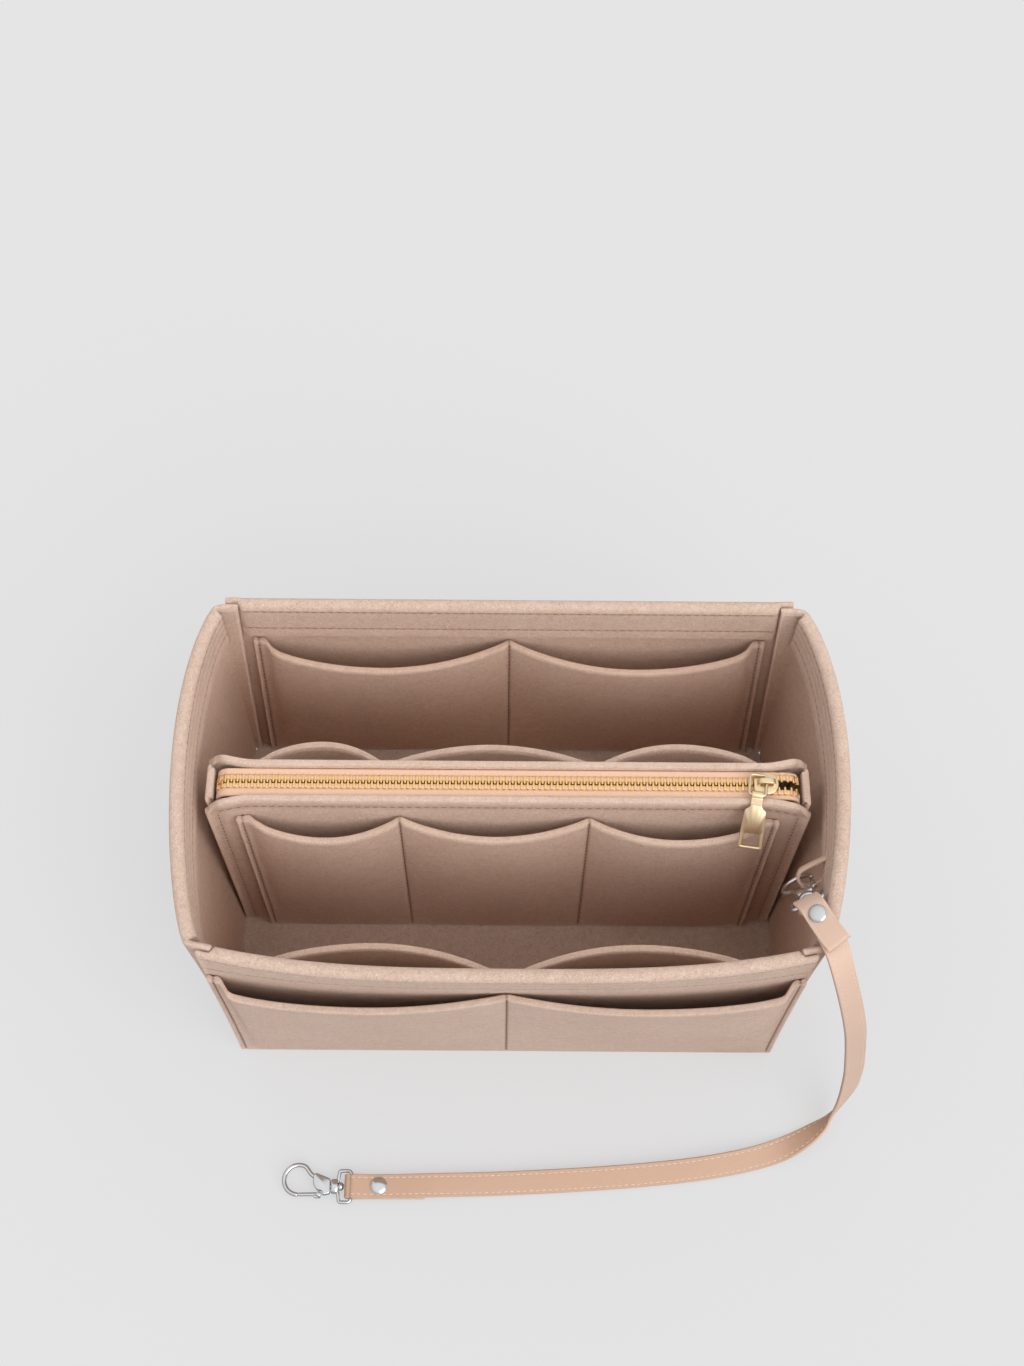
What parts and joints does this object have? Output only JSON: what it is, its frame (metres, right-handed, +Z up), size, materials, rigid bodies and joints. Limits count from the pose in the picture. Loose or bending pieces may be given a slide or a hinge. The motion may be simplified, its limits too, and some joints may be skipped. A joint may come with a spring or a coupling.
{
  "type": "purse organizer insert",
  "caption": "Open felt box insert for a handbag, with stitched pockets inside and outside, a removable zip pouch in the middle and a leather leash with a trigger hook at each end",
  "frame": {"origin": "the middle of the felt box at the table, under its bounding box without the leash", "axes": "+X runs along the length to the right end, +Y to the back and +Z up"},
  "size_m": [0.3019, 0.2332, 0.1624],
  "materials": {
    "felt": "pressed pinkish beige felt with a short fibre",
    "leather": "smooth light tan leather, stitched near both edges",
    "zip_tape": "woven peach tape",
    "brass_teeth": "bright yellow metal",
    "gold_fittings": "pale champagne plating",
    "nickel_fittings": "bright plated metal"
  },
  "bodies": {
    "organizer": {"front_panel": "felt", "back_panel": "felt", "right_side_panel": "felt", "left_side_panel": "felt", "base_panel": "felt", "front_outer_pocket": "felt", "front_inner_pocket": "felt", "back_inner_pocket": "felt", "upper_swivel_ring": "nickel_fittings", "lower_swivel_ring": "nickel_fittings", "upper_snap_cap": "nickel_fittings", "upper_snap_back": "nickel_fittings", "lower_snap_cap": "nickel_fittings", "lower_snap_back": "nickel_fittings", "leash_strap": "leather", "leash_loop_tab": "leather"},
    "pouch": {"pouch_front_panel": "felt", "pouch_back_panel": "felt", "pouch_right_gusset": "felt", "pouch_left_gusset": "felt", "pouch_base_panel": "felt", "pouch_front_pocket": "felt", "pouch_back_pocket": "felt", "zip_front_teeth": "brass_teeth", "zip_back_teeth": "brass_teeth", "zip_front_tape": "zip_tape", "zip_back_tape": "zip_tape"},
    "zip_slider": {"zip_slider": "gold_fittings"},
    "pull_link": {"pull_link": "gold_fittings"},
    "pull_tab": {"pull_tab": "gold_fittings"},
    "upper_hook": {"upper_hook": "nickel_fittings"},
    "upper_gate": {"upper_hook_gate": "nickel_fittings"},
    "lower_hook": {"lower_hook": "nickel_fittings"},
    "lower_gate": {"lower_hook_gate": "nickel_fittings"}
  },
  "joints": [
    {"name": "pouch_lift", "type": "slide", "parent": "organizer", "child": "pouch", "axis": [0, 0, 1], "range_m": [0, 0.18]},
    {"name": "zip_slide", "type": "slide", "parent": "pouch", "child": "zip_slider", "axis": [1, 0, 0], "range_m": [-0.221, 0.003], "deforming": ["zip_front_teeth", "zip_back_teeth"]},
    {"name": "pull_link_hinge", "type": "hinge", "parent": "zip_slider", "child": "pull_link", "pos_m": [0.10802, 0.00615, 0.1432], "axis": [0.1381, 0.9829, -0.1219], "range_deg": [0, 95]},
    {"name": "pull_tab_hinge", "type": "hinge", "parent": "pull_link", "child": "pull_tab", "pos_m": [0.10359, -0.00024, 0.14405], "axis": [-0.9903, 0.1392, 0], "range_deg": [0, 100]},
    {"name": "upper_hook_swivel", "type": "hinge", "parent": "organizer", "child": "upper_hook", "pos_m": [0.12113, -0.04463, 0.14317], "axis": [0.095, 0.6579, -0.7471], "range_deg": [-8, 8]},
    {"name": "upper_gate_hinge", "type": "hinge", "parent": "upper_hook", "child": "upper_gate", "pos_m": [0.12481, -0.03875, 0.13919], "axis": [-0.5076, 0.6776, 0.5322], "range_deg": [0, 20], "stiffness_Nm_per_rad": 0.004, "springref_deg": -17.19},
    {"name": "lower_hook_swivel", "type": "hinge", "parent": "organizer", "child": "lower_hook", "pos_m": [-0.07888, -0.1367, 0.0034], "axis": [-1, 0, 0], "continuous": true},
    {"name": "lower_gate_hinge", "type": "hinge", "parent": "lower_hook", "child": "lower_gate", "pos_m": [-0.08608, -0.1402, 0.0034], "axis": [0, 0, -1], "range_deg": [0, 25], "stiffness_Nm_per_rad": 0.004, "springref_deg": -17.19}
  ]
}
